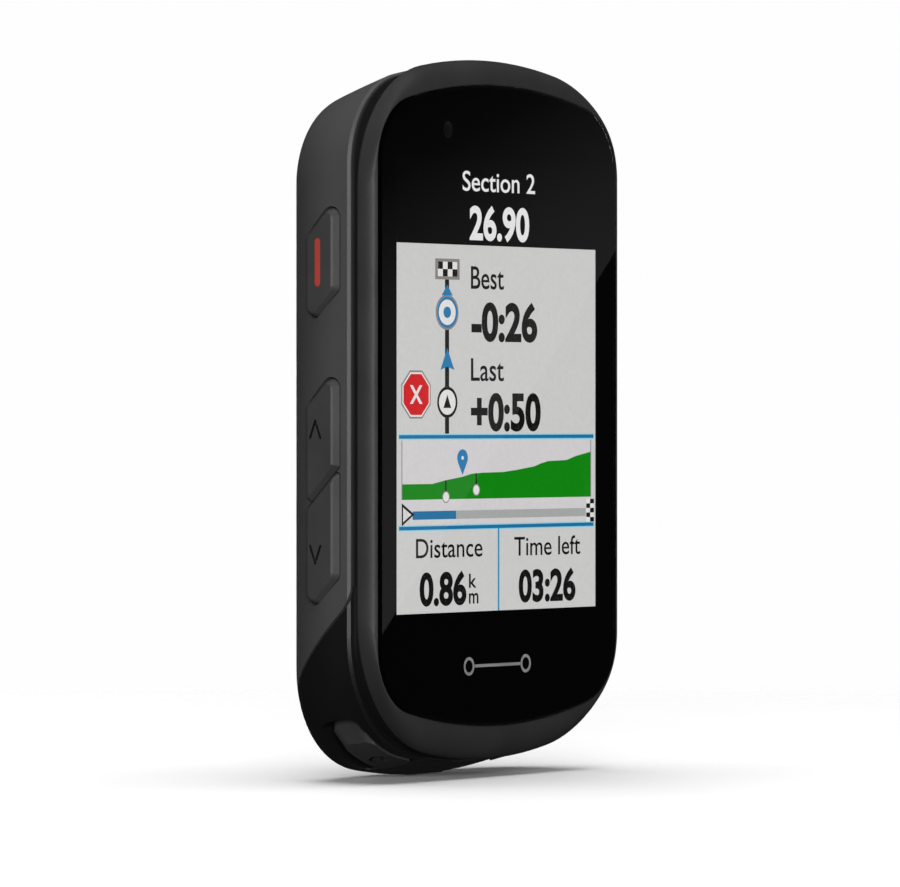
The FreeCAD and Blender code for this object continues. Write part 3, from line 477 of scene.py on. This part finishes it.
CHART_LEFT, CHART_RIGHT, CHART_LOW = -18.95, 19.05, -9.1
GROUND = [(CHART_LEFT, -7.35), (-13.0, -7.35), (-10.4, -6.95), (-7.2, -6.6), (-5.2, -6.25), (-3.0, -6.15),
          (1.0, -6.1), (3.5, -5.9), (7.3, -5.5), (8.8, -5.15), (10.2, -4.9), (14.0, -4.8), (15.9, -4.35),
          (CHART_RIGHT, -3.85)]
RIVALS = [(-10.4, -6.95, -8.85), (-4.4, -6.2, -8.1)]         # x, height of the ground, height of the dot
PIN_X, PIN_Z, PIN_TIP, PIN_TANGENT = -7.15, -4.45, -6.4, math.radians(-25)


def draw_climb(p):
    """The climb ahead, with two rivals and the rider's pin on it, between two blue lines."""
    for z in (LINE_1, LINE_2):
        p.halo.box(-19.6, 19.7, z - LINE_WIDTH * 0.8, z + LINE_WIDTH * 0.8)
        p.blue.box(-19.5, 19.6, z - LINE_WIDTH / 2, z + LINE_WIDTH / 2)
    p.chart_field.box(CHART_LEFT, CHART_RIGHT, LINE_2 + LINE_WIDTH, LINE_1 - LINE_WIDTH)
    p.green.plate([(CHART_LEFT, CHART_LOW), (CHART_RIGHT, CHART_LOW), *reversed(GROUND)])
    for x in (CHART_LEFT, CHART_RIGHT):
        p.frame_line.box(x - 0.07, x + 0.07, CHART_LOW, LINE_1 - LINE_WIDTH)
    for x, ground, z in RIVALS:
        p.route.box(x - 0.13, x + 0.13, z, ground)
        p.edge.ellipse(x, z, 0.72, 0.68)
        p.white.ellipse(x, z, 0.58, 0.55)
    half, shoulder = 1.05 * math.cos(PIN_TANGENT), PIN_Z + math.sin(PIN_TANGENT)
    p.blue_front.ellipse(PIN_X, PIN_Z, 1.05, 0.98)
    p.blue_front.plate([(PIN_X - half, shoulder), (PIN_X, PIN_TIP), (PIN_X + half, shoulder)])
    p.bright.ellipse(PIN_X, PIN_Z, 0.24, 0.22)


BAR_LEFT, BAR_REACHED, BAR_RIGHT, BAR_LOW, BAR_HIGH = -16.9, -8.4, 18.0, -11.35, -10.4


def draw_progress(p):
    """How far along: a start triangle, a bar and a flag."""
    p.grey.box(BAR_REACHED, BAR_RIGHT, BAR_LOW, BAR_HIGH)
    p.blue.box(BAR_LEFT, BAR_REACHED, BAR_LOW, BAR_HIGH)
    p.ink.plate([(-19.05, -9.45), (-19.05, -12.05), (-16.6, -10.75)])
    p.bright.plate([(-18.8, -9.95), (-18.8, -11.6), (-17.2, -10.77)])
    checks(p.ink, p.white, 18.05, 19.65, -12.0, -9.35, 2, 5)


def draw_readings(p):
    """The two readings at the bottom, with a blue line between them."""
    p.halo.box(-0.15, 0.35, SCREEN_LOW, LINE_2)
    p.blue.box(0.0, 0.2, SCREEN_LOW, LINE_2)
    p.ink.text("Distance", -16.3, -15.7, 13.1, 2.2, SMALL_WEIGHT)
    p.ink.text("Time left", 3.2, -15.75, 13.6, 2.2, SMALL_WEIGHT)
    p.ink.text("0.86", -15.6, -21.15, 9.2, 3.95, BOLD_WEIGHT)
    p.ink.text("03:26", 4.1, -21.15, 11.7, 3.9, BOLD_WEIGHT)
    p.ink.text("k", -5.9, -19.2, 1.5, 1.6, 0.015)
    p.ink.text("m", -5.9, -21.0, 1.9, 1.2, 0.015)


def draw_picture():
    """The whole picture on the display, in generic words and numbers."""
    p = SimpleNamespace()
    for name, (colour, layer) in SCREEN_COLOURS.items():
        setattr(p, name, Picture(f"screen_{name}", painted_glow(f"screen_{name}", colour), layer_y(layer)))
    p.title_field.y, p.title_text.y = IN_GLASS, IN_GLASS_FRONT
    for draw in (draw_title, draw_rivals, draw_stop_sign, draw_climb, draw_progress, draw_readings):
        draw(p)
    for layer in vars(p).values():
        layer.done()


EMBLEM_X, EMBLEM_Z, EMBLEM_SPREAD = -0.2, -28.1, 5.7
EMBLEM_RING, EMBLEM_LINE = 1.05, 0.34


def draw_emblem():
    """A plain printed mark in the glass's lower border: two rings joined by a bar."""
    grey_print = surface("emblem_grey", (0.55, 0.55, 0.55), relief=0.0, specular=0.0)
    emblem = Picture("border_emblem", grey_print, IN_GLASS_FRONT)
    for side in (-1, 1):
        emblem.ellipse(EMBLEM_X + side * EMBLEM_SPREAD, EMBLEM_Z, EMBLEM_RING, EMBLEM_RING, EMBLEM_LINE)
    half_bar, half_line = EMBLEM_SPREAD - EMBLEM_RING - 0.05, EMBLEM_LINE / 2
    emblem.box(EMBLEM_X - half_bar, EMBLEM_X + half_bar, EMBLEM_Z - half_line, EMBLEM_Z + half_line)
    emblem.done()


# ---- studio --------------------------------------------------------------------------------
def light_panel(name, place, width, height, power, target=(0, -10, 0)):
    """A soft rectangular lamp, in millimetres, that looks at a point."""
    data = bpy.data.lights.new(name, "AREA")
    data.shape = "RECTANGLE"
    data.size, data.size_y = width * MM, height * MM
    data.energy = power
    lamp = bpy.data.objects.new(name, data)
    bpy.context.scene.collection.objects.link(lamp)
    lamp.location = Vector(place) * MM
    aim = (Vector(target) - Vector(place)).normalized()
    lamp.rotation_euler = aim.to_track_quat("-Z", "Y").to_euler()
    lamp.visible_camera = False
    lamp.visible_transmission = False
    return lamp


def add_lamps():
    """A key from the left, a wide one overhead, and fills for the back and the lower front."""
    light_panel("key", (-600, -430, 80), 340, 260, 5.1)
    top = light_panel("top", (0, 0, 620), 700, 700, 5.6)
    back = light_panel("back", (380, 560, 0), 400, 300, 4.0)
    light_panel("front", (120, -520, -20), 100, 100, 0.4, target=(0, -10, -20))
    for lamp in (top, back):
        lamp.visible_glossy = False


BACKDROP, AMBIENT = 0.99, 0.02


def add_world():
    """White behind the object, and dim grey for what lights it and mirrors in it."""
    world = bpy.data.worlds.new("studio")
    bpy.context.scene.world = world
    world.use_nodes = True
    tree = world.node_tree
    backdrop = tree.nodes["Background"]
    backdrop.inputs["Color"].default_value = (1, 1, 1, 1)
    backdrop.inputs["Strength"].default_value = BACKDROP
    ambient = tree.nodes.new("ShaderNodeBackground")
    ambient.inputs["Color"].default_value = (1, 1, 1, 1)
    ambient.inputs["Strength"].default_value = AMBIENT
    path = tree.nodes.new("ShaderNodeLightPath")
    mix = tree.nodes.new("ShaderNodeMixShader")
    tree.links.new(path.outputs["Is Camera Ray"], mix.inputs["Fac"])
    tree.links.new(ambient.outputs["Background"], mix.inputs[1])
    tree.links.new(backdrop.outputs["Background"], mix.inputs[2])
    tree.links.new(mix.outputs["Shader"], tree.nodes["World Output"].inputs["Surface"])


FLOOR_RADIUS = 260.0
FLOOR_FADE = (0.55, 0.98)    # where the floor starts and ends fading out, as shares of its radius
FLOOR_GAP = 0.05             # keeps the floor clear of the object


def floor_material():
    """Pale paint that turns clear towards the floor's edge."""
    material, tree, shader = node_material("floor_white")
    shader.inputs["Roughness"].default_value = 1.0
    shader.inputs["Specular IOR Level"].default_value = 0.0
    cloudy = noise(tree, 40, 2.0)
    tree.links.new(tint(tree, cloudy, (0.9, 0.9, 0.9), (0.91, 0.91, 0.91)), shader.inputs["Base Color"])
    coordinates = tree.nodes.new("ShaderNodeTexCoord")
    away = tree.nodes.new("ShaderNodeVectorMath")
    away.operation = "LENGTH"
    fade = tree.nodes.new("ShaderNodeMapRange")
    fade.interpolation_type = "SMOOTHSTEP"
    fade.inputs["From Min"].default_value = FLOOR_RADIUS * MM * FLOOR_FADE[0]
    fade.inputs["From Max"].default_value = FLOOR_RADIUS * MM * FLOOR_FADE[1]
    clear = tree.nodes.new("ShaderNodeBsdfTransparent")
    mix = tree.nodes.new("ShaderNodeMixShader")
    tree.links.new(coordinates.outputs["Object"], away.inputs[0])
    tree.links.new(away.outputs["Value"], fade.inputs["Value"])
    tree.links.new(fade.outputs["Result"], mix.inputs["Fac"])
    tree.links.new(shader.outputs["BSDF"], mix.inputs[1])
    tree.links.new(clear.outputs["BSDF"], mix.inputs[2])
    tree.links.new(mix.outputs["Shader"], tree.nodes["Material Output"].inputs["Surface"])
    return material


def add_floor():
    """A pale disc that catches the shadow and fades into the white around it."""
    mesh = bpy.data.meshes.new("floor")
    shape = bmesh.new()
    bmesh.ops.create_circle(shape, cap_ends=True, segments=96, radius=FLOOR_RADIUS * MM)
    shape.to_mesh(mesh)
    shape.free()
    mesh.materials.append(floor_material())
    floor = bpy.data.objects.new("floor", mesh)
    bpy.context.scene.collection.objects.link(floor)
    floor.location = (0, 0, (FLOOR_Z - FLOOR_GAP) * MM)
    floor.visible_glossy = False
    floor.visible_diffuse = False
    floor.visible_shadow = False


SHEEN_DISTANCE = 200.0       # from the glass to the card that mirrors in it
SHEEN_OUTLINE = [(-26.0, -26.3), (60.0, 53.62), (60.0, 60.0), (-26.0, 60.0)]     # as it falls on the glass
SHEEN_LOW, SHEEN_HIGH = -15.0, 45.0          # where its brightness starts and ends changing
SHEEN_SLANT = -0.35          # how far that change leans over
SHEEN = [(0.0, 0.235), (0.34, 0.185), (0.55, 0.148), (0.71, 0.08), (0.82, 0.036), (1.0, 0.012)]     # going up


def grey(level):
    """A grey as a colour with its alpha."""
    return (level, level, level, 1.0)


def sheen_material():
    """A glow that fades upwards, along a slant."""
    material = bpy.data.materials.new("sheen_card")
    material.use_nodes = True
    tree = material.node_tree
    tree.nodes.remove(tree.nodes["Principled BSDF"])
    coordinates = tree.nodes.new("ShaderNodeTexCoord")
    height = tree.nodes.new("ShaderNodeVectorMath")
    height.operation = "DOT_PRODUCT"
    height.inputs[1].default_value = (SHEEN_SLANT, 0.0, 1.0)
    share_up = tree.nodes.new("ShaderNodeMapRange")
    share_up.inputs["From Min"].default_value = SHEEN_LOW * MM
    share_up.inputs["From Max"].default_value = SHEEN_HIGH * MM
    ramp = tree.nodes.new("ShaderNodeValToRGB")
    stops = ramp.color_ramp.elements
    stops[0].color = grey(SHEEN[0][1])
    stops[1].color = grey(SHEEN[-1][1])
    for place, level in SHEEN[1:-1]:
        stops.new(place).color = grey(level)
    light = tree.nodes.new("ShaderNodeEmission")
    tree.links.new(coordinates.outputs["Object"], height.inputs[0])
    tree.links.new(height.outputs["Value"], share_up.inputs["Value"])
    tree.links.new(share_up.outputs["Result"], ramp.inputs["Fac"])
    tree.links.new(ramp.outputs["Color"], light.inputs["Color"])
    tree.links.new(light.outputs["Emission"], tree.nodes["Material Output"].inputs["Surface"])
    return material


def add_sheen_card():
    """A dim card, seen only as the diagonal sheen that it makes on the glass."""
    mesh = bpy.data.meshes.new("sheen_card")
    mesh.from_pydata([(x * MM, 0.0, z * MM) for x, z in SHEEN_OUTLINE], [], [range(len(SHEEN_OUTLINE))])
    mesh.materials.append(sheen_material())
    card = bpy.data.objects.new("sheen_card", mesh)
    bpy.context.scene.collection.objects.link(card)
    share = SHEEN_DISTANCE / (GLASS_FRONT - EYE.y)
    card.location = Vector((-EYE.x * share, GLASS_FRONT - SHEEN_DISTANCE, 0.0)) * MM
    card.scale = (1 + share, 1.0, 1 + share)
    card.visible_camera = False
    card.visible_diffuse = False
    card.visible_shadow = False
    card.visible_transmission = False


add_camera()
finish_nodes()
draw_picture()
draw_emblem()
add_world()
add_floor()
add_sheen_card()
add_lamps()
scene = bpy.context.scene
scene.view_settings.view_transform = "Standard"
scene.view_settings.look = "None"
